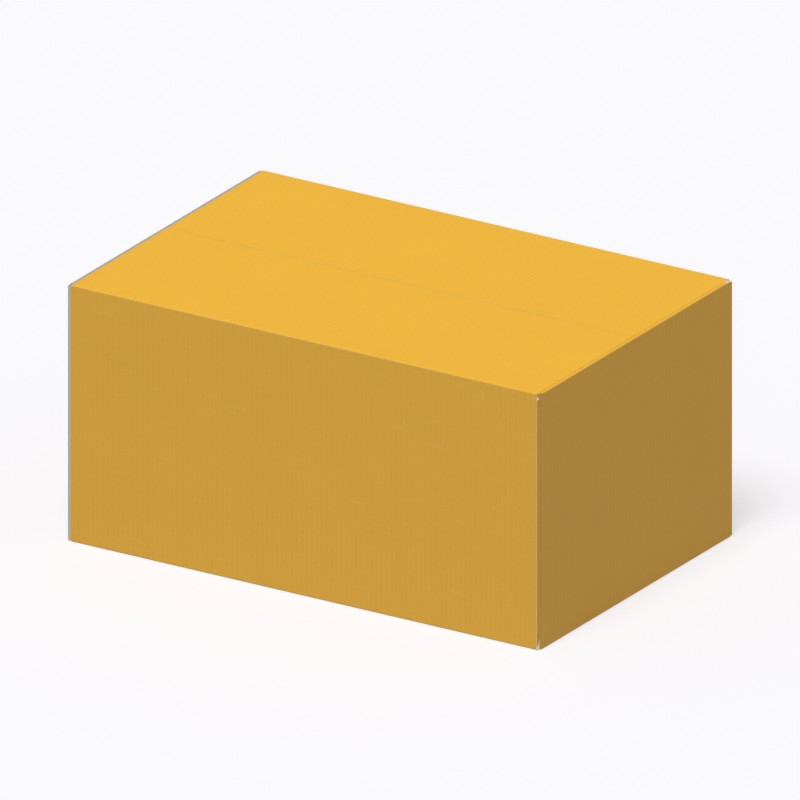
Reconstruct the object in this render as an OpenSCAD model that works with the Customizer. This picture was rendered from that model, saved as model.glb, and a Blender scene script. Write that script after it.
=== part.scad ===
// Shipping box folded from one die-cut sheet of thin corrugated board, closed and not taped.
// Millimetres. The origin is at the middle of the underside. X runs along the length from
// left to right, Y from the front to the back, and Z up.

/* [Box] */
// Length over the left and right panels
box_l = 304; // [220:1:420]
// Width over the front and back panels
box_w = 198.7; // [150:0.1:280]
// Height over the closed flaps
box_h = 150.7; // [90:0.1:260]
// Thickness of the board
board = 1.9; // [1.2:0.1:3]

/* [Creases] */
// Outside radius of the upright folds and of the bottom folds
fold_r = 0.8; // [0.4:0.1:1.2]
// Outside radius of the creases that the outer top flaps turn on
crease_r = 0.6; // [0.3:0.1:1.2]
// Outside radius of the side panels' creases
ridge_r = 0.7; // [0.3:0.1:0.8]
// Radius on the flap side of the side panels' creases
ridge_back_r = 0.2; // [0.1:0.1:0.4]
// Inside radius of the upright folds
inner_r = 0.8; // [0.3:0.1:1.5]
// Open mitre between a panel and the outer top flap that turns on it
mitre_gap = 0.14; // [0.06:0.02:0.4]
// How far the side panels' creases stay inside the box's overall height
crest_drop = 0.06; // [0.04:0.02:0.5]

/* [Flaps] */
// Gap between the two outer flaps, top and bottom
seam_gap = 0.36; // [0.2:0.02:3]
// Free space between each end of an outer flap and the side panel
end_gap = 0.2; // [0.15:0.05:1.5]
// Free space between the outer and the inner top flaps
layer_gap = 0.15; // [0.1:0.05:0.5]
// Length of the inner flaps from the side panels' outer faces
inner_len = 36.9; // [20:0.1:70]
// How far the inner flaps' edges start from the front and back faces
inner_inset = 4.2; // [3.4:0.1:12]
// How much narrower each edge of an inner flap becomes towards its free end
inner_taper = 2.5; // [0:0.1:8]
// Radius of the corners at the inner flaps' free ends
inner_tip_r = 7; // [2:0.5:15]

/* [Slots] */
// How far the slots between the flaps run on past the creases
slot_run = 0.7; // [0.6:0.1:4]
// Radius in the closed end of the slots
slot_r = 0.5; // [0.2:0.1:0.6]

/* [Glued corner] */
// Thickness left at the crushed front edge of the right panel, where it laps the tab
lap_edge = 0.25; // [0.15:0.05:0.6]
// Length over which that edge is crushed
lap_run = 4; // [2:0.1:8]
// Radius of the relief bitten out of that edge under the top crease and over the bottom one
bite_r = 1.3; // [0.8:0.1:2]
// How deep the relief goes into the edge
bite_depth = 1; // [0.4:0.1:1.5]
// Height of the relief's middle from the top, or from the bottom
bite_in = 2.2; // [2.1:0.1:4]
// Outside radius of the fold between the front panel and the glue tab
tab_fold_r = 0.35; // [0.2:0.05:1]
// Length of the glue tab from the front face
tab_len = 34; // [15:0.5:60]
// Free space between the tab and the inner flaps at its crease
tab_gap = 0.6; // [0.3:0.1:4]
// Height that each end of the tab loses over its length
tab_taper = 9; // [2:0.5:20]

/* [Hidden] */
$fn = 48;

PRINT = [0.92, 0.70, 0.10];

half_l = box_l / 2;
half_w = box_w / 2;
// Inner faces of the side panels and of the front and back panels
inside_l = half_l - board;
inside_w = half_w - board;
// Ends of the outer flaps, which are also the slots' edges
flap_half = inside_l - end_gap;
flap_reach = half_w - seam_gap / 2;
slot_w = board + end_gap;
// Thickness that the right panel loses at its crushed front edge
lap_drop = board - lap_edge;
// Upper faces of the inner top flaps and of the inner bottom flaps
inner_top_z = box_h - board - layer_gap;
inner_bottom_z = 2 * board;
// Past a face, so that a cut goes right through it
over = 1;

// What a rounding of radius r takes off a corner at the origin, whose material lies at +X +Y
module corner_waste(r) {
    difference() {
        translate([-over, -over]) square(r + over);
        translate([r, r]) circle(r);
    }
}

// A profile drawn in (Y, Z) and drawn out along X, centred
module along_x(length) {
    translate([-length / 2, 0, 0]) rotate([90, 0, 90]) linear_extrude(length) children();
}

// A profile drawn in (X, Z) and drawn out along Y, centred
module along_y(length) {
    translate([0, length / 2, 0]) rotate([90, 0, 0]) linear_extrude(length) children();
}

// The four upright panels seen from above, with the front and right panels meeting at a lap
module panel_ring() {
    difference() {
        square([box_l, box_w], center = true);
        square([2 * inside_l, 2 * inside_w], center = true);
        translate([-half_l, -half_w]) corner_waste(fold_r);
        translate([-half_l, half_w]) mirror([0, 1]) corner_waste(fold_r);
        translate([half_l, half_w]) mirror([0, 1]) mirror([1, 0]) corner_waste(fold_r);
        translate([half_l, -half_w]) lap_waste();
        translate([inside_l, -half_w]) lap_groove();
    }
}

// What the crushing takes off the right panel's front edge
module lap_waste() {
    polygon([[over, -over], [-lap_drop, -over], [-lap_drop, 0], [0, lap_run], [over, lap_run]]);
}

// Groove that the tab's fold leaves beside the raw edge of the right panel
module lap_groove() {
    difference() {
        translate([-tab_fold_r, -over]) square([tab_fold_r, over + tab_fold_r]);
        translate([-tab_fold_r, tab_fold_r]) circle(tab_fold_r);
    }
}

// Small inside radius of three upright folds, between the inner flaps
module inner_folds() {
    fold_h = inner_top_z - board - inner_bottom_z;
    for (corner = [[-1, -1], [-1, 1], [1, 1]])
        translate([corner[0] * inside_l, corner[1] * inside_w, inner_bottom_z])
            mirror([corner[0] > 0 ? 1 : 0, 0, 0]) mirror([0, corner[1] > 0 ? 1 : 0, 0])
                linear_extrude(fold_h) intersection() {
                    corner_waste(inner_r);
                    square(inner_r);
                }
}

// Outer bottom flap and its fold, in (Y, Z), for the front
module bottom_flap_profile() {
    difference() {
        translate([-half_w, 0]) square([flap_reach, board]);
        translate([-half_w, 0]) corner_waste(fold_r);
    }
}

// What is open above a panel along the crease of its outer top flap, in (Y, Z), for the front
module mitre_waste() {
    wall_gap = mitre_gap / sqrt(2);
    translate([-half_w, box_h]) {
        polygon([
            [-over, over], [-over, -wall_gap + over],
            [0, -wall_gap], [board, -board - wall_gap],
            [board + over, -board - wall_gap], [board + over, over],
        ]);
        mirror([0, 1]) corner_waste(crease_r);
    }
}

// Rounds both edges of a side panel's crease, in (X, Z), for the left at the top
module crest_waste() {
    translate([-half_l, box_h - crest_drop]) {
        mirror([0, 1]) corner_waste(ridge_r);
        translate([board, 0]) mirror([1, 0]) mirror([0, 1]) corner_waste(ridge_back_r);
        translate([-over, 0]) square([board + 2 * over, over]);
    }
}

// Closed end of a slot between two flaps, as it shows on one face
module slot_profile() {
    translate([-over, -slot_run + slot_r]) square([slot_w + over, slot_run + over]);
    translate([-over, -slot_run]) square([slot_w + over - slot_r, slot_run]);
    translate([slot_w - slot_r, -slot_run + slot_r]) circle(slot_r);
}

// The slot end at the top left front corner, cut through both panels of that corner
module corner_slot() {
    translate([-half_l, -half_w, box_h]) {
        translate([0, slot_w, 0]) rotate([90, 0, 0]) linear_extrude(slot_w + over)
            slot_profile();
        translate([slot_w, 0, 0]) mirror([1, 0, 0]) rotate([90, 0, 90])
            linear_extrude(slot_w + over) slot_profile();
    }
}

// The slot ends at the top and bottom of the three upright folds
module corner_slots() {
    for (corner = [[0, 0], [0, 1], [1, 1]])
        mirror([corner[0], 0, 0]) mirror([0, corner[1], 0]) {
            corner_slot();
            translate([0, 0, box_h]) mirror([0, 0, 1]) corner_slot();
        }
}

// Reliefs in the right panel's cut front edge, next to the creases
module lap_reliefs() {
    for (z = [bite_in, box_h - bite_in])
        translate([inside_l, -half_w + bite_depth - bite_r, z])
            rotate([0, 90, 0]) cylinder(r = bite_r, h = board + over);
}

// Inner flap seen from above, for the left
module inner_flap_outline() {
    root_y = half_w - inner_inset;
    tip_y = root_y - inner_taper;
    tip_x = -half_l + inner_len;
    for (face = [0, 1])
        mirror([0, face]) {
            polygon([
                [-inside_l, 0], [-inside_l, -root_y],
                [tip_x - inner_tip_r, -tip_y], [tip_x - inner_tip_r, 0],
            ]);
            translate([tip_x - inner_tip_r, -tip_y + inner_tip_r]) circle(inner_tip_r);
        }
    translate([-inside_l, -tip_y + inner_tip_r])
        square([inner_len - board, 2 * (tip_y - inner_tip_r)]);
}

// The four inner flaps: the top pair lies open to view once the outer flaps are lifted
module inner_flaps() {
    for (side = [0, 1])
        mirror([side, 0, 0]) {
            translate([0, 0, inner_top_z - board]) linear_extrude(board) inner_flap_outline();
            translate([0, 0, board]) linear_extrude(board) inner_flap_outline();
        }
}

// Glue tab of the front panel, flat against the inside of the right panel
module glue_tab() {
    low = inner_bottom_z + tab_gap;
    high = inner_top_z - board - tab_gap;
    root_y = -half_w + tab_fold_r;
    tip_y = -half_w + tab_len;
    translate([inside_l - board, 0, 0]) rotate([90, 0, 90]) linear_extrude(board)
        polygon([
            [root_y, low], [tip_y, low + tab_taper],
            [tip_y, high - tab_taper], [root_y, high],
        ]);
}

// Panels, bottom, inner top flaps and glue tab: one folded and glued sheet
module carton_body() {
    color(PRINT) {
        difference() {
            union() {
                linear_extrude(box_h) panel_ring();
                for (face = [0, 1])
                    mirror([0, face, 0]) along_x(2 * flap_half) bottom_flap_profile();
            }
            for (face = [0, 1])
                mirror([0, face, 0]) {
                    along_x(2 * inside_l) mitre_waste();
                    along_x(box_l + 2 * over) translate([-half_w, 0]) corner_waste(fold_r);
                }
            for (side = [0, 1])
                mirror([side, 0, 0]) along_y(box_w + 2 * over) {
                    crest_waste();
                    translate([0, box_h]) mirror([0, 1]) crest_waste();
                }
            corner_slots();
            lap_reliefs();
        }
        inner_folds();
        inner_flaps();
        glue_tab();
    }
}

// Outer top flap in (Y, Z), for the front: its crease end is mitred to the panel
module top_flap_profile() {
    flap_gap = mitre_gap / sqrt(2);
    difference() {
        translate([-half_w, box_h - board]) square([flap_reach, board]);
        translate([-half_w, box_h])
            polygon([
                [-over, 0], [0, 0], [flap_gap, 0],
                [board + flap_gap, -board], [board + flap_gap, -board - over], [-over, -board - over],
            ]);
        translate([-half_w, box_h]) mirror([0, 1]) corner_waste(crease_r);
    }
}

// Outer top flap on the front panel
module front_top_flap() {
    color(PRINT) along_x(2 * flap_half) top_flap_profile();
}

// Outer top flap on the back panel
module back_top_flap() {
    color(PRINT) mirror([0, 1, 0]) along_x(2 * flap_half) top_flap_profile();
}

carton_body();
front_top_flap();
back_top_flap();
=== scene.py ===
import math

import bmesh
import bpy
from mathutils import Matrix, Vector


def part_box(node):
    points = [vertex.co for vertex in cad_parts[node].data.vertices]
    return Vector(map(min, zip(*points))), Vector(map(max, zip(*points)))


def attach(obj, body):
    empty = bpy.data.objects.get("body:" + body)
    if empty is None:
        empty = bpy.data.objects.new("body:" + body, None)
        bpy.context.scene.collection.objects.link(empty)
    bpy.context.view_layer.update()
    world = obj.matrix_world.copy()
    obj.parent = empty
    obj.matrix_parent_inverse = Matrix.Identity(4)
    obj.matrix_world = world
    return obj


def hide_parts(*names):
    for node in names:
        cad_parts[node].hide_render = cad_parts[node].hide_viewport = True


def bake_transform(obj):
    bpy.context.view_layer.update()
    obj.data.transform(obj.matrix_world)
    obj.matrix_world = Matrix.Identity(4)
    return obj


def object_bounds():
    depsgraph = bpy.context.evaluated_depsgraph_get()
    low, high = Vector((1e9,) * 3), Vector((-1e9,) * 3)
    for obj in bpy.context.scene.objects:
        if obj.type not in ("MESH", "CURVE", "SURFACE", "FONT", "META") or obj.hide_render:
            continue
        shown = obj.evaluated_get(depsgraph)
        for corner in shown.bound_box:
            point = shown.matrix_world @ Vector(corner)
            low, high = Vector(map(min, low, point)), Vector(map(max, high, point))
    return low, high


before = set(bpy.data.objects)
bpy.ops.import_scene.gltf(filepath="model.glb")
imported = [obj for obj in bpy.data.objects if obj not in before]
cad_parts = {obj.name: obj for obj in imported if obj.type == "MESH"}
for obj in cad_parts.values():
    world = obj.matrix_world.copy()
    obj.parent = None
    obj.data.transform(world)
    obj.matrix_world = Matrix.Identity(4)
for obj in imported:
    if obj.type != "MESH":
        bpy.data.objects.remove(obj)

MM = 0.001

# The object's box and the places that the looks depend on, in metres
LOW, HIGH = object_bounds()
HALF_L = HIGH.x
HALF_W = HIGH.y
HEIGHT = HIGH.z
BOARD = 1.9 * MM
CREASE_R = 0.6 * MM
FOLD_R = 0.8 * MM
LAYER_GAP = 0.15 * MM
LAP_RUN = 4.0 * MM
FLAP_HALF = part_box("front_top_flap")[1].x
SEAM_HALF = -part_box("front_top_flap")[1].y
INSIDE_L = HALF_L - BOARD
INSIDE_W = HALF_W - BOARD
INNER_TOP = HEIGHT - BOARD - LAYER_GAP
# The bites out of the lap lie within this of the top and the bottom, and this deep in its edge
BITE_END = 4.0 * MM
BITE_DEEP = 1.1 * MM
# How far down from the top the outer rounding of the side panels' creases reaches
CREST_FOOT = 0.725 * MM

# Faces within this of a plane count as lying on it
NEAR = 0.02 * MM
# Faces wider than this are flat ones, and narrower ones are steps of a rounding
BROAD = 2.5 * MM
# How much of a normal points along an axis: on a face that looks that way, on a face that has
# begun to turn that way, and on a face that is square to no axis (less than this)
SQUARE_ON = 0.9
TURNED = 0.2
SLANTED = 0.995

# Colours, linear
PRINT = (0.848, 0.468, 0.038)
PRINT_DEEP = (0.745, 0.388, 0.022)
RUBBED = (0.86, 0.52, 0.06)
SPECK = (0.86, 0.60, 0.22)
SCUFF = (0.88, 0.62, 0.20)
LINER = (0.93, 0.83, 0.70)
LINER_DEEP = (0.80, 0.66, 0.49)
FLECK = (0.62, 0.47, 0.32)
# Paper of the flutes, and painted shade for the hollows behind them, on the face that closes the
# cut
FLUTE_PAPER = (0.72, 0.57, 0.40)
FLUTE_PAPER_DEEP = (0.52, 0.38, 0.24)
FLUTE_HOLLOW_SHADE = (0.24, 0.18, 0.12)
FLUTE_HOLLOW_SHADE_DEEP = (0.16, 0.11, 0.07)
# Bare board where the print is missing, upright on the fold and level on the crease;
# the level colours are a darker copy, with painted shade
BARE = (0.65, 0.575, 0.51)
BARE_DEEP = (0.56, 0.49, 0.42)
BARE_TOP_SHADED = (0.443, 0.395, 0.352)
BARE_TOP_DEEP_SHADED = (0.371, 0.328, 0.284)
# Board that shows where the print is worn off the back right corner of the top
WORN = (0.68, 0.61, 0.51)
WORN_DEEP = (0.58, 0.50, 0.40)
# Fresh paper where the print is torn off the lap at the foot of the glued corner
TORN = (0.98, 0.90, 0.76)
TORN_DEEP = (0.92, 0.82, 0.66)
# Painted shade on the print, at the lap's slope and under the top creases, and how strongly
PAINTED_SHADE = (0.16, 0.12, 0.18)
PAINTED_SHADE_SHARE = 0.20

# The corrugated board: pitch of its wave, thickness of its papers, and how far in it is open
FLUTE = 3.2 * MM
PAPER = 0.26 * MM
OPEN_DEPTH = 3.0 * MM
# Steps in which an open end is built: along its flat papers, and along each flute's wave
FLAT_STEPS = 120
WAVE_STEPS = 10
# How far the die presses the printed paper past the board at the outer flaps' ends, and at the
# seam where an inner flap backs it
LIP = 0.18 * MM
SEAM_LIP = 0.14 * MM

# Free ends of the inner flaps: their distance from the middle, half of their straight length, and
# the radius of their corners
OPEN_HALF = 115.1 * MM
TIP_HALF = 85.65 * MM
TIP_R = 7.0 * MM

# Half of the width over which the edge of a bare, torn or printed place fades
FADE = 0.05 * MM
# Widths of the strips at the left panel's folds where the print is missing: down the front and
# along the top
STRIP = 2.15 * MM
STRIP_TOP = 2.35 * MM
# Worn place on the crest at the back right corner: from the back, and half of its length
WEAR_BACK = 3.9 * MM
WEAR_HALF = 2.5 * MM
# Wedge torn out of the print at the bottom of the lap: its width at the floor, and its height
TEAR_WIDE = 1.5 * MM
TEAR_HIGH = 6.5 * MM


class Shader:
    """The nodes of a material or of the world, added one at a time."""

    def __init__(self, owner):
        owner.use_nodes = True
        self.owner = owner
        self.tree = owner.node_tree
        self.tree.nodes.clear()

    def feed(self, socket, value):
        if isinstance(value, bpy.types.NodeSocket):
            self.tree.links.new(value, socket)
        elif isinstance(value, tuple) and len(value) == 3 and socket.type == "RGBA":
            socket.default_value = (*value, 1.0)
        else:
            socket.default_value = value

    def add(self, kind, inputs, output=0, **settings):
        node = self.tree.nodes.new(kind)
        for name, value in settings.items():
            setattr(node, name, value)
        for key, value in inputs.items():
            self.feed(node.inputs[key], value)
        return node.outputs[output]

    def math(self, operation, *values):
        return self.add("ShaderNodeMath", dict(enumerate(values)), operation=operation)

    def total(self, *parts):
        """The sum of several values, each times its weight."""
        result = 0.0
        for value, weight in parts:
            result = self.math("MULTIPLY_ADD", value, weight, result)
        return result

    def mix(self, share, first, second):
        inputs = {"Factor": share, 6: first, 7: second}
        return self.add("ShaderNodeMix", inputs, output=2, data_type="RGBA")

    def ramp(self, value, low, high, to_low=0.0, to_high=1.0):
        inputs = {"Value": value, "From Min": low, "From Max": high}
        inputs.update({"To Min": to_low, "To Max": to_high})
        return self.add("ShaderNodeMapRange", inputs, interpolation_type="SMOOTHSTEP")

    def rise(self, value, place, half):
        """0 below that place and 1 above it, with a soft step that reaches half either way."""
        return self.ramp(value, place - half, place + half)

    def fall(self, value, place, half):
        """1 below that place and 0 above it, with the same soft step."""
        return self.ramp(value, place - half, place + half, 1.0, 0.0)

    def place(self):
        """The point's place on the object at rest, and its three coordinates."""
        point = self.add("ShaderNodeTexCoord", {}, output=3)
        parts = self.tree.nodes.new("ShaderNodeSeparateXYZ")
        self.tree.links.new(point, parts.inputs[0])
        return point, parts.outputs[0], parts.outputs[1], parts.outputs[2]

    def noise(self, point, size, stretch=(1, 1, 1), detail=2.0):
        """Noise from 0 to 1 whose grains are about that size in metres, drawn out by stretch."""
        scale = tuple(1 / (size * s) for s in stretch)
        inputs = {0: point, 1: scale}
        scaled = self.add("ShaderNodeVectorMath", inputs, operation="MULTIPLY")
        return self.add("ShaderNodeTexNoise", {"Vector": scaled, "Scale": 1.0, "Detail": detail})

    def uneven(self, point, size, detail):
        """Noise from -0.5 to 0.5, for edges that aren't straight."""
        return self.math("SUBTRACT", self.noise(point, size, detail=detail), 0.5)

    def wave(self, along, pitch, wander):
        """A wave from 0 to 1 along one coordinate, with crests a pitch apart."""
        turn = self.math("MULTIPLY", along, 2 * math.pi / pitch)
        turn = self.math("ADD", turn, wander)
        return self.math("MULTIPLY_ADD", self.math("SINE", turn), 0.5, 0.5)

    def show(self, surface, kind="ShaderNodeOutputMaterial"):
        output = self.tree.nodes.new(kind)
        self.tree.links.new(surface, output.inputs["Surface"])
        return self.owner

    def finish(self, colour, roughness, height, depth, specular):
        bump = self.add("ShaderNodeBump", {"Height": height, "Distance": depth, "Strength": 1.0})
        inputs = {"Base Color": colour, "Roughness": roughness, "Normal": bump}
        inputs["Specular IOR Level"] = specular
        return self.show(self.add("ShaderNodeBsdfPrincipled", inputs))


def new_material(name):
    return Shader(bpy.data.materials.new(name))


def fold_distance(shader, x, y, z):
    """How far a point of the outside is from the nearest fold of the box."""
    from_side = shader.math("SUBTRACT", HALF_L, shader.math("ABSOLUTE", x))
    from_face = shader.math("SUBTRACT", HALF_W, shader.math("ABSOLUTE", y))
    from_end = shader.math("MINIMUM", z, shader.math("SUBTRACT", HEIGHT, z))
    smaller = shader.math("MINIMUM", from_side, from_face)
    larger = shader.math("MAXIMUM", from_side, from_face)
    return shader.math("MAXIMUM", smaller, shader.math("MINIMUM", larger, from_end))


def in_right_panel(shader, x):
    """1 in the board of the right panel, which holds the lap, and 0 further left."""
    return shader.rise(x, INSIDE_L, 0.1 * MM)


def bare_strip(shader, x, y, z, ragged):
    """How bare the left panel's front fold and top crease are, and how much of that is on top."""
    left = shader.math("SUBTRACT", shader.math("ADD", x, ragged), -HALF_L)
    on_fold = shader.fall(shader.math("ADD", y, ragged), -HALF_W + FOLD_R, 0.1 * MM)
    down_fold = shader.math("MULTIPLY", shader.fall(left, STRIP, FADE), on_fold)
    on_top = shader.rise(shader.math("ADD", z, ragged), HEIGHT - CREST_FOOT, 0.075 * MM)
    along_crease = shader.math("MULTIPLY", shader.fall(left, STRIP_TOP, FADE), on_top)
    return shader.math("MAXIMUM", down_fold, along_crease), on_top


def bare_board_shaded_level(shader, grain, on_top):
    """Colour of the bare board, darker with painted shade where it lies level."""
    upright = shader.mix(grain, BARE_DEEP, BARE)
    level = shader.mix(grain, BARE_TOP_DEEP_SHADED, BARE_TOP_SHADED)
    return shader.mix(on_top, upright, level)


def worn_corner(shader, point, x, y, z):
    """How far the print is worn off the right panel's crest, just before the back corner.

    The edge of the worn place wanders by up to 1.6 mm along the crest and 0.8 mm down it.
    """
    uneven = shader.uneven(point, 0.9 * MM, detail=4.0)
    on_crest = shader.ramp(x, INSIDE_L - 0.1 * MM, INSIDE_L)
    from_worst = shader.math("ABSOLUTE", shader.math("SUBTRACT", y, HALF_W - WEAR_BACK))
    from_worst = shader.math("MULTIPLY_ADD", uneven, 3.2 * MM, from_worst)
    close = shader.fall(from_worst, WEAR_HALF, 0.08 * MM)
    high = shader.math("MULTIPLY_ADD", uneven, -1.6 * MM, z)
    high = shader.rise(high, HEIGHT - 0.55 * MM, FADE)
    gone = shader.ramp(shader.noise(point, 0.45 * MM), 0.30, 0.36)
    worn = shader.math("MULTIPLY", close, gone)
    return shader.math("MULTIPLY", shader.math("MULTIPLY", worn, on_crest), high)


def torn_edge(shader, point, x, y, z):
    """How far the print is torn off the lap at the foot of the glued corner, in a narrow wedge."""
    uneven = shader.uneven(point, 0.8 * MM, detail=3.0)
    across = shader.math("MULTIPLY_ADD", uneven, 0.4 * MM, shader.math("ADD", y, HALF_W))
    slant = shader.math("MULTIPLY", z, TEAR_WIDE / TEAR_HIGH)
    past_slant = shader.rise(shader.math("SUBTRACT", across, slant), 0.0, FADE)
    before_end = shader.fall(across, TEAR_WIDE, FADE)
    torn = shader.math("MULTIPLY", past_slant, before_end)
    return shader.math("MULTIPLY", torn, in_right_panel(shader, x))


def painted_shade_masks(shader, x, y, z):
    """Painted shade on the print: on the crushed lap's slope, and just below the top creases."""
    # Painted shade that dims the lap's slope, which faces further to the front, to the panel's tone
    on_lap = shader.ramp(y, -HALF_W + LAP_RUN - 0.2 * MM, -HALF_W + LAP_RUN, PAINTED_SHADE_SHARE, 0.0)
    crushed = shader.math("MULTIPLY", in_right_panel(shader, x), on_lap)
    on_face = shader.ramp(shader.math("ABSOLUTE", y), HALF_W - 0.30 * MM, HALF_W - 0.18 * MM)
    on_side = shader.ramp(shader.math("ABSOLUTE", x), HALF_L - 0.35 * MM, HALF_L - 0.18 * MM)
    on_wall = shader.math("MAXIMUM", on_face, on_side)
    # Painted shade line on the lower part of the crease rounding and just below it
    down = shader.math("SUBTRACT", HEIGHT, z)
    below = shader.ramp(down, CREASE_R, 1.25 * CREASE_R, PAINTED_SHADE_SHARE, 0.0)
    return crushed, shader.math("MULTIPLY", on_wall, below)


def cracks(shader, point, x, folds, ragged):
    """How far the print is broken open at the folds, most where no inner flap backs the board."""
    broken = shader.ramp(shader.noise(point, 9 * MM, detail=3.0), 0.36, 0.56)
    unbacked = shader.ramp(shader.math("ABSOLUTE", x), OPEN_HALF - 8 * MM, OPEN_HALF, 0.34, 0.06)
    crack = shader.fall(shader.math("ADD", folds, ragged), 0.22 * MM, 0.06 * MM)
    return shader.math("MULTIPLY", shader.math("MULTIPLY", crack, unbacked), broken)


def fibres(shader, point, along):
    """Fine paper grain, drawn out along the flutes."""
    stretch = {"x": (6, 1, 1), "y": (1, 6, 1), "z": (1, 1, 6)}[along]
    return shader.noise(point, 0.35 * MM, stretch, detail=3.0)


def printed(name, across, along, specular):
    """Printed outside of the board. Its flutes lie along one axis and repeat across another."""
    shader = new_material(name)
    point, x, y, z = shader.place()
    row = {"x": x, "y": y}[across]
    grain = fibres(shader, point, along)
    cloud = shader.noise(point, 45 * MM)
    mottle = shader.noise(point, 1.6 * MM)
    ragged = shader.math("MULTIPLY", shader.math("SUBTRACT", mottle, 0.5), 0.20 * MM)
    flute = shader.wave(row, FLUTE, shader.math("MULTIPLY", cloud, 1.5))
    folds = fold_distance(shader, x, y, z)
    bare = shader.mix(grain, LINER_DEEP, LINER)

    shade = shader.total((flute, 0.16), (cloud, 0.34), (grain, 0.55))
    colour = shader.mix(shade, PRINT_DEEP, PRINT)
    rub = shader.math("MULTIPLY", shader.ramp(folds, 0.3 * MM, 1.6 * MM, 0.16, 0.0), mottle)
    colour = shader.mix(rub, colour, RUBBED)
    specks = shader.ramp(shader.noise(point, 0.9 * MM, detail=1.0), 0.70, 0.79, 0.0, 0.40)
    colour = shader.mix(specks, colour, SPECK)
    scuffs = shader.noise(point, 2.5 * MM, (9, 9, 1) if along == "z" else (1, 9, 9), detail=4.0)
    scuffs = shader.ramp(scuffs, 0.62, 0.74, 0.0, 0.16)
    colour = shader.mix(scuffs, colour, SCUFF)
    colour = shader.mix(cracks(shader, point, x, folds, ragged), colour, bare)
    # Painted shade at the lap and below the top creases
    for shade_mask in painted_shade_masks(shader, x, y, z):
        colour = shader.mix(shade_mask, colour, PAINTED_SHADE)

    torn = torn_edge(shader, point, x, y, z)
    colour = shader.mix(torn, colour, shader.mix(grain, TORN_DEEP, TORN))
    worn = worn_corner(shader, point, x, y, z)
    colour = shader.mix(worn, colour, shader.mix(grain, WORN_DEEP, WORN))
    # Bare strips at the left panel, with painted shade where they lie level on the crease
    strip, on_top = bare_strip(shader, x, y, z, ragged)
    colour = shader.mix(strip, colour, bare_board_shaded_level(shader, grain, on_top))

    roughness = shader.math("MULTIPLY_ADD", grain, 0.16, 0.42)
    roughness = shader.math("ADD", roughness, scuffs)
    roughness = shader.math("MAXIMUM", roughness, shader.math("MULTIPLY", strip, 0.9))
    height = shader.total((flute, 0.5), (grain, 0.5), (strip, -0.8))
    return shader.finish(colour, roughness, height, 0.05 * MM, specular)


def liner(name, across, along):
    """Bare inside of the board, with its fibres and the washboard of the flutes behind it."""
    shader = new_material(name)
    point, x, y, z = shader.place()
    row = {"x": x, "y": y}[across]
    grain = fibres(shader, point, along)
    cloud = shader.noise(point, 30 * MM)
    flute = shader.wave(row, FLUTE, shader.math("MULTIPLY", cloud, 1.5))
    shade = shader.total((flute, 0.18), (grain, 0.82))
    colour = shader.mix(shader.ramp(shade, 0.1, 0.75), LINER_DEEP, LINER)
    flecks = shader.ramp(shader.noise(point, 0.7 * MM, detail=1.0), 0.70, 0.78, 0.0, 0.45)
    colour = shader.mix(flecks, colour, FLECK)
    roughness = shader.math("MULTIPLY_ADD", grain, 0.15, 0.72)
    height = shader.total((flute, 0.6), (grain, 0.5))
    return shader.finish(colour, roughness, height, 0.045 * MM, specular=0.3)


def fluted_paper(name, deep, light):
    """Paper inside the board, mottled between two colours; dark ones paint the shade in the flutes'
    hollows.
    """
    shader = new_material(name)
    point = shader.place()[0]
    grain = shader.noise(point, 0.25 * MM, detail=3.0)
    colour = shader.mix(grain, deep, light)
    return shader.finish(colour, 0.9, grain, 0.05 * MM, specular=0.2)


def crushed_edge(name):
    """Cut or crushed board where the flutes are closed: slot ends, mitres, flap ends and the tab.

    Ink runs over the top of the edges, least at the seam where no inner flap backs it.
    """
    shader = new_material(name)
    point, x, y, z = shader.place()
    grain = fibres(shader, point, "x")
    fuzz = shader.noise(point, 0.5 * MM, detail=3.0)
    colour = shader.mix(grain, LINER_DEEP, LINER)
    # Bare board near the left panel, with painted shade in the top of the edges
    left = shader.fall(x, -HALF_L + STRIP + 2 * FADE, FADE)
    level = shader.rise(z, HEIGHT - 1.4 * MM, 0.1 * MM)
    colour = shader.mix(left, colour, bare_board_shaded_level(shader, grain, level))
    across = shader.math("ABSOLUTE", x)
    backed = shader.ramp(across, OPEN_HALF - 4 * MM, OPEN_HALF + 2 * MM, 0.35, 0.95)
    off_seam = shader.ramp(shader.math("ABSOLUTE", y), 4 * MM, 5 * MM)
    most = shader.math("MAXIMUM", backed, off_seam)
    inked = shader.math("ADD", z, shader.math("MULTIPLY", fuzz, 0.15 * MM))
    inked = shader.ramp(inked, HEIGHT - 0.60 * MM, HEIGHT - 0.45 * MM, 0.0, most)
    inked = shader.math("MULTIPLY", inked, shader.math("SUBTRACT", 1.0, left))
    colour = shader.mix(inked, colour, PRINT)
    return shader.finish(colour, 0.85, fuzz, 0.12 * MM, specular=0.2)


PRINT_LONG = printed("printed_board_front", "x", "z", 0.60)
PRINT_TOP = printed("printed_board_top", "x", "y", 0.06)
PRINT_SIDE = printed("printed_board_side", "y", "z", 0.35)
PRINT_INNER = printed("printed_board_inner_flap", "y", "x", 0.20)
LINER_LONG = liner("bare_board_front", "x", "z")
LINER_LEVEL = liner("bare_board_level", "x", "y")
LINER_SIDE = liner("bare_board_side", "y", "z")
FLUTED = fluted_paper("fluted_paper", FLUTE_PAPER_DEEP, FLUTE_PAPER)
HOLLOW_SHADE = fluted_paper("fluted_hollow_shade", FLUTE_HOLLOW_SHADE_DEEP, FLUTE_HOLLOW_SHADE)
CRUSHED = crushed_edge("crushed_edge")
LOOKS = [
    PRINT_LONG, PRINT_TOP, PRINT_SIDE, PRINT_INNER,
    LINER_LONG, LINER_LEVEL, LINER_SIDE,
    FLUTED, HOLLOW_SHADE, CRUSHED,
]


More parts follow.
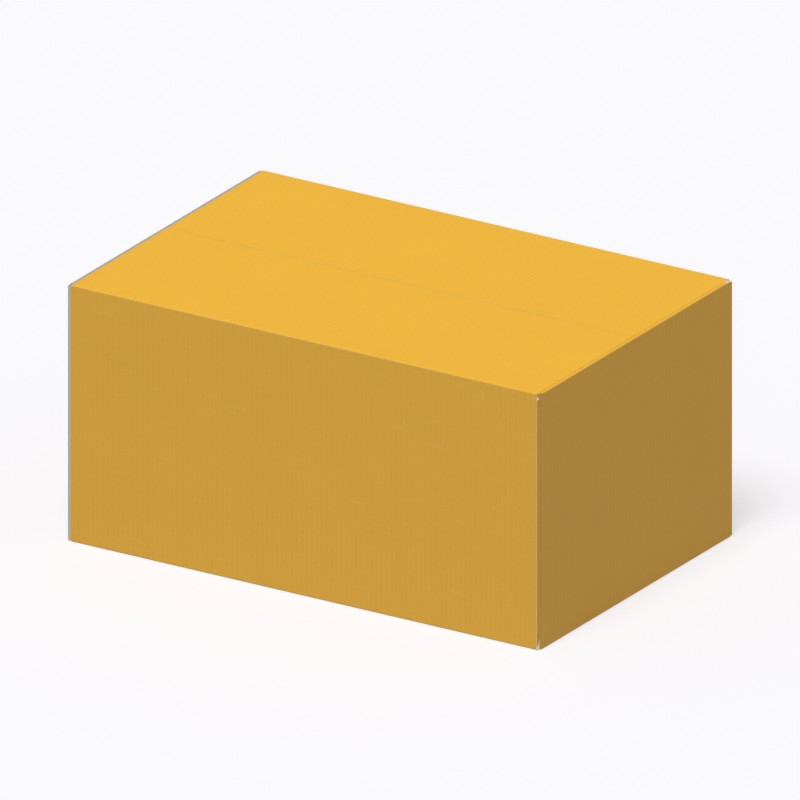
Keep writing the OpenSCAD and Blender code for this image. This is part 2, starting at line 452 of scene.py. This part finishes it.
def flap_look(middle, normal):
    """The look of one face of an outer top flap."""
    if normal.z > TURNED:
        return PRINT_TOP
    if normal.z < -SQUARE_ON:
        return LINER_LEVEL
    if abs(normal.y) > TURNED and abs(middle.y) > INSIDE_W and middle.z > HEIGHT - CREASE_R:
        return PRINT_TOP
    return CRUSHED


def carton_look(middle, normal):
    """The look of one face of the carton: panels, bottom, inner flaps and tab."""
    from_end = min(middle.z, HEIGHT - middle.z)
    on_side = abs(middle.x) > HALF_L - NEAR
    on_face = abs(middle.y) > HALF_W - NEAR
    if on_side and abs(normal.x) > SQUARE_ON:
        return PRINT_SIDE
    if on_face and abs(normal.y) > SQUARE_ON:
        return PRINT_LONG
    if middle.z < NEAR and normal.z < -SQUARE_ON:
        return PRINT_TOP
    if abs(middle.x) < INSIDE_L - NEAR and abs(normal.z) > SQUARE_ON:
        return PRINT_INNER if abs(middle.z - INNER_TOP) < NEAR else LINER_LEVEL

    in_right = middle.x > INSIDE_L
    slanted = max(abs(normal.x), abs(normal.y), abs(normal.z)) < SLANTED
    mitre = abs(normal.y) > 0.6 and normal.z > 0.6 and middle.y * normal.y < 0
    if mitre:
        return CRUSHED
    lap_slope = in_right and normal.x > 0.5 and -0.6 < normal.y < -TURNED
    if lap_slope:
        return PRINT_SIDE
    crease_top = abs(normal.z) > 0.35 and from_end < 0.4 * MM
    if crease_top:
        return PRINT_TOP
    lap_end = in_right and middle.y < 0 and abs(normal.x) < 0.1 and from_end < BITE_END
    if lap_end and slanted:
        in_bite = middle.y + HALF_W < BITE_DEEP and from_end > FOLD_R
        return CRUSHED if in_bite else PRINT_SIDE
    if slanted and on_rounding(middle):
        return PRINT_SIDE if abs(middle.x) > INSIDE_L else PRINT_LONG

    from_inside = abs(abs(middle.x) - INSIDE_L)
    if from_inside < NEAR and middle.z > INNER_TOP - NEAR:
        return PRINT_SIDE
    outward = middle.x * normal.x > 0 or middle.y * normal.y > 0
    if not outward and from_inside < BOARD + 0.6 * MM and abs(normal.x) > SQUARE_ON:
        return LINER_SIDE
    if not outward and abs(abs(middle.y) - INSIDE_W) < NEAR:
        return LINER_LONG
    return CRUSHED


def on_rounding(middle):
    """Whether a point lies on one of the body's rounded folds or creases."""
    reach = 1.6 * MM
    from_end = min(middle.z, HEIGHT - middle.z)
    nearest = sorted([HALF_L - abs(middle.x), HALF_W - abs(middle.y), from_end])
    side_crease = abs(middle.x) > INSIDE_L - NEAR and from_end < reach
    return nearest[1] < reach or side_crease


def sheet(work, rings, looks):
    """A closed strip of paper through rings of four corners, with the looks of its four sides."""
    layer = work.faces.layers.int["look"]
    corners = [[work.verts.new(place) for place in ring] for ring in rings]
    made = []
    for first, second in zip(corners, corners[1:]):
        for i, look in enumerate(looks):
            j = (i + 1) % 4
            face = work.faces.new((first[i], first[j], second[j], second[i]))
            face[layer] = LOOKS.index(look) + 1
            made.append(face)
    for ring in (corners[0][::-1], corners[-1]):
        face = work.faces.new(ring)
        face[layer] = LOOKS.index(CRUSHED) + 1
        made.append(face)
    bmesh.ops.recalc_face_normals(work, faces=made)


def fluted_end(work, half, outer, place, top, underside):
    """Open end of a board: two flat papers with the fluted one between them.

    half: the end reaches that far either way. outer(s): how far out its edge is there.
    place(s, out, up): that point of the end in the scene.
    """
    height = (BOARD - 3 * PAPER) / 2
    wave_steps = round(2 * half / FLUTE * WAVE_STEPS)

    def rings(count, bottom):
        for i in range(count + 1):
            s = -half + 2 * half * i / count
            up = bottom(s)
            corners = ((0, up), (outer(s), up), (outer(s), up + PAPER), (0, up + PAPER))
            yield [place(s, out, level) for out, level in corners]

    def wave(s):
        return BOARD / 2 - PAPER / 2 + height * math.sin(2 * math.pi * s / FLUTE)

    lower = rings(FLAT_STEPS, lambda s: 0)
    upper = rings(FLAT_STEPS, lambda s: BOARD - PAPER)
    sheet(work, lower, (underside, CRUSHED, FLUTED, FLUTED))
    sheet(work, upper, (FLUTED, CRUSHED, top, FLUTED))
    sheet(work, rings(wave_steps, wave), (FLUTED,) * 4)


def cut_open(work, faces, side, plane):
    """Cuts those faces back to a plane across side (0 for X, 1 for Y), shut with painted shade."""
    # A dict keeps the order, so that each run gives the same mesh
    geometry = dict.fromkeys(faces)
    for face in faces:
        geometry.update(dict.fromkeys(face.edges))
        geometry.update(dict.fromkeys(face.verts))
    point = [0.0, 0.0, 0.0]
    point[side] = plane
    normal = [0.0, 0.0, 0.0]
    normal[side] = -math.copysign(1, plane)
    cut = bmesh.ops.bisect_plane(
        work, geom=list(geometry), plane_co=point, plane_no=normal, dist=1e-7, clear_outer=True,
    )
    edges = [item for item in cut["geom_cut"] if isinstance(item, bmesh.types.BMEdge)]
    layer = work.faces.layers.int["look"]
    for face in bmesh.ops.contextual_create(work, geom=edges)["faces"]:
        face[layer] = LOOKS.index(HOLLOW_SHADE) + 1


def open_seam(work):
    """Opens the flutes at an outer flap's free edge, and presses out the paper at its ends."""
    face = math.copysign(1, sum(vert.co.y for vert in work.verts))
    back = SEAM_HALF + OPEN_DEPTH
    cut_open(work, list(work.faces), 1, face * back)

    def place(s, out, up):
        return Vector((s, face * (back - out), HEIGHT - BOARD + up))

    fluted_end(work, FLAP_HALF, lambda s: OPEN_DEPTH, place, PRINT_TOP, LINER_LEVEL)
    for vert in work.verts:
        if vert.co.z <= HEIGHT - NEAR:
            continue
        if abs(vert.co.x) > FLAP_HALF - NEAR:
            vert.co.x += math.copysign(LIP, vert.co.x)
        if abs(vert.co.x) > OPEN_HALF and abs(vert.co.y) < SEAM_HALF + NEAR:
            vert.co.y = face * (SEAM_HALF - SEAM_LIP)


def inner_flap_faces(work, side):
    """Faces of the inner top flap on the left (-1) or the right (1)."""
    found = []
    for face in work.faces:
        middle = face.calc_center_median()
        level = INNER_TOP - BOARD - NEAR < middle.z < INNER_TOP + NEAR
        across = abs(middle.y) < INSIDE_W - NEAR
        if level and across and 0 < middle.x * side < INSIDE_L - NEAR:
            found.append(face)
    return found


def open_tip(work, side):
    """Opens the flutes at the free end of the inner top flap on that side."""
    back = OPEN_HALF + OPEN_DEPTH
    # Just short of where the round corners meet the cut, so that no strip runs out to nothing
    reach = TIP_HALF + math.sqrt(TIP_R ** 2 - (TIP_R - OPEN_DEPTH) ** 2) - 0.1 * MM

    def outer(s):
        past = max(abs(s) - TIP_HALF, 0)
        return OPEN_DEPTH - TIP_R + math.sqrt(max(TIP_R ** 2 - past ** 2, 0))

    def place(s, out, up):
        return Vector((side * (back - out), s, INNER_TOP - BOARD + up))

    cut_open(work, inner_flap_faces(work, side), 0, side * back)
    fluted_end(work, reach, outer, place, PRINT_INNER, LINER_LEVEL)


def open_tips(work):
    for side in (-1, 1):
        open_tip(work, side)


def sharp_angle(edge):
    """The angle from which an edge is sharp: small between broad faces, which are no rounding."""
    length = edge.calc_length()
    broad = all(face.calc_area() / length > BROAD for face in edge.link_faces)
    return math.radians(10 if broad else 40)


def add_piece(name, work, materials):
    """Makes a mesh object of that bmesh, with those materials in its slots."""
    mesh = bpy.data.meshes.new(name)
    for material in materials:
        mesh.materials.append(material)
    work.to_mesh(mesh)
    work.free()
    piece = bpy.data.objects.new(name, mesh)
    bpy.context.scene.collection.objects.link(piece)
    return piece


def dressed(node, name, look, opened):
    """A copy of a CAD node, with open flutes and each face in its own look, that stands for it."""
    work = bmesh.new()
    work.from_mesh(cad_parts[node].data)
    bmesh.ops.remove_doubles(work, verts=work.verts, dist=0.002 * MM)
    bmesh.ops.dissolve_limit(
        work, angle_limit=math.radians(0.5), verts=work.verts, edges=work.edges,
    )
    layer = work.faces.layers.int.new("look")
    opened(work)
    work.normal_update()
    for face in work.faces:
        own = look(face.calc_center_median(), face.normal)
        face.material_index = face[layer] - 1 if face[layer] else LOOKS.index(own)
        face.smooth = True
    for edge in work.edges:
        edge.smooth = edge.is_manifold and edge.calc_face_angle(0) < sharp_angle(edge)
    bmesh.ops.triangulate(work, faces=work.faces, ngon_method="BEAUTY")
    work.faces.layers.int.remove(layer)
    piece = add_piece(name, work, LOOKS)
    weighted = piece.modifiers.new("even_normals", "WEIGHTED_NORMAL")
    weighted.keep_sharp = True
    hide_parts(node)
    return piece


def crease_skin(name, face):
    """Thin outer skin of the sheet over the top crease of the front (face -1) or the back (1).

    It stands proud of the rounding by a hair, and its two tails end just inside the board.
    """
    proud = 0.02 * MM
    sunk = 0.01 * MM
    short = 0.02 * MM
    thick = 0.30 * MM
    tail = 1.3 * MM
    steps = 8
    arc = [math.pi / 2 * i / steps for i in range(steps + 1)]

    def path(inset, at_tail):
        radius = CREASE_R - inset
        bend = [(radius * math.cos(angle), radius * math.sin(angle)) for angle in arc]
        points = [(CREASE_R - across, CREASE_R - up) for across, up in bend]
        return [(at_tail, tail)] + points + [(tail, at_tail)]

    outline = path(-proud, sunk) + path(thick, thick)[::-1]
    work = bmesh.new()
    rings = []
    for x in (-FLAP_HALF + short, FLAP_HALF - short):
        ring = [work.verts.new((x, face * (HALF_W - a), HEIGHT - b)) for a, b in outline]
        rings.append(ring)
    count = len(outline)
    for i in range(count):
        j = (i + 1) % count
        work.faces.new((rings[0][i], rings[0][j], rings[1][j], rings[1][i]))
    for ring in rings:
        for i in range(count // 2 - 1):
            work.faces.new((ring[i], ring[i + 1], ring[count - 2 - i], ring[count - 1 - i]))
    bmesh.ops.recalc_face_normals(work, faces=work.faces)
    for part in work.faces:
        part.smooth = True
        part.material_index = 1 if abs(part.normal.y) > SQUARE_ON else 0
    piece = add_piece(name, work, [PRINT_TOP, PRINT_LONG])
    piece.data.set_sharp_from_angle(angle=math.radians(50))
    return piece


def build_box():
    carton = dressed("carton_body", "carton_board", carton_look, open_tips)
    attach(carton, "carton")
    for side, face in (("front", -1), ("back", 1)):
        flap = dressed(side + "_top_flap", side + "_flap_board", flap_look, open_seam)
        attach(flap, side + "_flap")
        skin = crease_skin(side + "_crease_skin", face)
        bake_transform(skin)


# Colour of the background and of the floor as the camera sees it, linear
PALE = (0.956, 0.947, 0.973)
# How much of the light the floor throws back at the object
FLOOR_RETURN = 0.36
# How much of the floor's own colour the camera sees without light or shadow on it
FLOOR_EVEN = 0.62
# Share of the pale colour in the part of the floor that is lit, so that it comes out as bright
FLOOR_LIT = 0.945
# Side of the floor, and how far below the object it lies
FLOOR_SIZE = 12
FLOOR_DROP = 0.02 * MM
# The sun's strength, its breadth in the sky and where it stands
SUN_POWER = 2.44
SUN_BREADTH = math.radians(24)
SUN_FROM = Vector((0.066, -0.409, 0.910))
# Brightness of the rest of the sky
SKY = 0.345


def seen_directly(shader):
    """1 for rays from the camera, a mirror or glass, and 0 for the rest."""
    path = shader.tree.nodes.new("ShaderNodeLightPath")
    seen = shader.math("MAXIMUM", path.outputs["Is Camera Ray"], path.outputs["Is Glossy Ray"])
    return shader.math("MAXIMUM", seen, path.outputs["Is Transmission Ray"])


def build_floor():
    """Pale floor that keeps the object's shadow and lights the object only softly."""
    shader = new_material("floor")
    seen = seen_directly(shader)
    pale = tuple(FLOOR_LIT * part for part in PALE)
    colour = shader.mix(seen, (FLOOR_RETURN,) * 3, pale)
    lit = shader.add("ShaderNodeBsdfDiffuse", {"Color": colour, "Roughness": 0.0})
    even = shader.add("ShaderNodeEmission", {"Color": PALE, "Strength": 1.0})
    share = shader.math("MULTIPLY", seen, FLOOR_EVEN)
    surface = shader.add("ShaderNodeMixShader", {0: share, 1: lit, 2: even})
    bpy.ops.mesh.primitive_plane_add(size=FLOOR_SIZE, location=(0, 0, -FLOOR_DROP))
    floor = bpy.context.object
    floor.name = "floor"
    floor.data.materials.append(shader.show(surface))


def build_light():
    """Even grey sky that is pale to the camera, and a broad sun from high above the front."""
    shader = Shader(bpy.data.worlds.new("sky"))
    grey = shader.add("ShaderNodeBackground", {"Color": (SKY,) * 3})
    pale = shader.add("ShaderNodeBackground", {"Color": PALE})
    surface = shader.add("ShaderNodeMixShader", {0: seen_directly(shader), 1: grey, 2: pale})
    bpy.context.scene.world = shader.show(surface, "ShaderNodeOutputWorld")

    sun = bpy.data.lights.new("key_light", "SUN")
    sun.energy = SUN_POWER
    sun.angle = SUN_BREADTH
    lamp = bpy.data.objects.new("key_light", sun)
    lamp.rotation_euler = SUN_FROM.to_track_quat("Z", "Y").to_euler()
    bpy.context.scene.collection.objects.link(lamp)


def build_camera():
    """Parallel view from the front right, a little above."""
    azimuth = math.radians(32.0)
    elevation = math.radians(21.95)
    frame_width = 0.4367
    above_middle = 5.6 * MM
    distance = 1.5
    back = Vector((
        math.sin(azimuth) * math.cos(elevation),
        -math.cos(azimuth) * math.cos(elevation),
        math.sin(elevation),
    ))
    turn = back.to_track_quat("Z", "Y")
    up = turn @ Vector((0, 1, 0))
    data = bpy.data.cameras.new("camera")
    data.type = "ORTHO"
    data.ortho_scale = frame_width
    data.clip_start = 0.05
    data.clip_end = 30
    camera = bpy.data.objects.new("camera", data)
    camera.location = (LOW + HIGH) / 2 + up * above_middle + back * distance
    camera.rotation_mode = "QUATERNION"
    camera.rotation_quaternion = turn
    bpy.context.scene.collection.objects.link(camera)
    bpy.context.scene.camera = camera


bpy.context.scene.view_settings.view_transform = "Standard"
build_box()
build_floor()
build_light()
build_camera()
